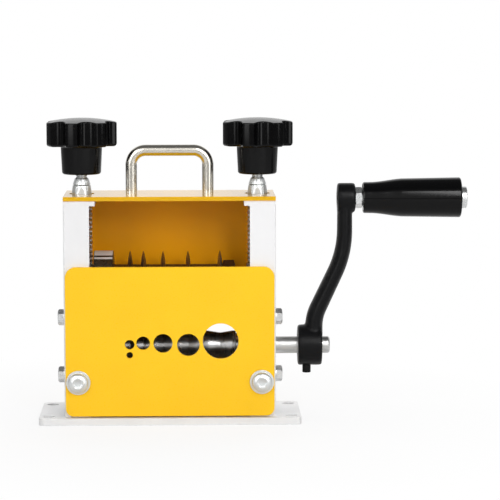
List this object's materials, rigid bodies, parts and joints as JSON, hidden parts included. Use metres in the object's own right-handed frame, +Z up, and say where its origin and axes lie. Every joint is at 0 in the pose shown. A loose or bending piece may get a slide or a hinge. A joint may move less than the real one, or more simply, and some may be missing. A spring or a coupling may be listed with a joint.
{
  "type": "hand crank wire stripper",
  "caption": "Bench wire stripper: crank-turned grooved feed roller under disc blades on a carriage that star knobs raise and lower, behind a guide plate with graded wire holes.",
  "frame": {"origin": "centre of the base plate's bottom face", "axes": "+X towards the crank, +Y from the guide plate to the back panel, +Z up"},
  "size_m": [0.3024, 0.071, 0.2135],
  "materials": {
    "yellow_paint": "glossy powder coat",
    "silver_paint": "satin silver-white paint",
    "base_steel": "satin light grey",
    "zinc_steel": "zinc plated",
    "bright_steel": "turned and ground",
    "blade_steel": "ground",
    "dark_steel": "blackened",
    "block_steel": "milled",
    "bronze": "turned",
    "spring_steel": "drawn wire",
    "polished_rod": "polished",
    "black_plastic": "glossy",
    "black_casting": "satin black paint"
  },
  "bodies": {
    "frame": {"base_plate": "base_steel", "base_screws": "zinc_steel", "left_side_channel": "silver_paint", "right_side_channel": "silver_paint", "left_cap_plate": "silver_paint", "right_cap_plate": "silver_paint", "cap_screws": "zinc_steel", "top_cover": "yellow_paint", "rear_cover_screws": "zinc_steel", "front_guide_plate": "yellow_paint", "front_plate_bolts": "zinc_steel", "front_plate_washers": "zinc_steel", "left_lower_block": "block_steel", "right_lower_block": "block_steel", "side_bolts": "zinc_steel", "side_bolt_washers": "zinc_steel", "crank_shaft_bushes": "bronze", "cap_nuts": "zinc_steel", "stop_nuts": "zinc_steel", "pull_handle": "polished_rod", "pull_handle_screws": "zinc_steel", "left_spring": "spring_steel", "right_spring": "spring_steel"},
    "blade_carriage": {"left_sliding_block": "block_steel", "right_sliding_block": "block_steel", "left_retainer_plate": "block_steel", "right_retainer_plate": "block_steel", "retainer_screws": "zinc_steel", "blade_shaft_bushes": "bronze"},
    "blade_spindle": {"blade_shaft": "bright_steel", "strip_blade_1": "blade_steel", "strip_blade_2": "blade_steel", "strip_blade_3": "blade_steel", "strip_blade_4": "blade_steel", "strip_blade_5": "blade_steel", "blade_spacer_1": "dark_steel", "blade_spacer_2": "dark_steel", "blade_spacer_3": "dark_steel", "blade_spacer_4": "dark_steel", "blade_spacer_5": "dark_steel", "blade_lock_nut": "dark_steel"},
    "drive_shaft": {"crank_shaft": "bright_steel", "feed_roller": "dark_steel", "roller_pin": "bright_steel", "roller_collars": "bright_steel", "crank_arm": "black_casting", "crank_set_screw": "dark_steel", "handle_spindle": "zinc_steel", "handle_jam_nut": "zinc_steel"},
    "grip": {"handle_grip": "black_plastic"},
    "left_knob": {"left_stud": "zinc_steel", "left_star_knob": "black_plastic"},
    "right_knob": {"right_stud": "zinc_steel", "right_star_knob": "black_plastic"}
  },
  "joints": [
    {"name": "blade_height", "type": "slide", "parent": "frame", "child": "blade_carriage", "axis": [0, 0, 1], "range_m": [-0.00708, 0.01499], "deforming": ["left_spring", "right_spring"]},
    {"name": "blade_spin", "type": "hinge", "parent": "blade_carriage", "child": "blade_spindle", "pos_m": [0, 0, 0.094], "axis": [1, 0, 0], "continuous": true},
    {"name": "crank_turn", "type": "hinge", "parent": "frame", "child": "drive_shaft", "pos_m": [0, 0, 0.0515], "axis": [1, 0, 0], "continuous": true},
    {"name": "grip_spin", "type": "hinge", "parent": "drive_shaft", "child": "grip", "pos_m": [0.17, 0, 0.1565], "axis": [1, 0, 0], "continuous": true},
    {"name": "left_knob_turn", "type": "hinge", "parent": "blade_carriage", "child": "left_knob", "pos_m": [-0.062, 0, 0.19], "axis": [0, 0, 1], "range_deg": [-2040, 4320]},
    {"name": "right_knob_turn", "type": "hinge", "parent": "blade_carriage", "child": "right_knob", "pos_m": [0.062, 0, 0.19], "axis": [0, 0, 1], "range_deg": [-2040, 4320]}
  ],
  "couplings": [
    {"joint": "left_knob_turn", "follows": "blade_height", "rad_per_m": 5026.5},
    {"joint": "right_knob_turn", "follows": "blade_height", "rad_per_m": 5026.5}
  ]
}
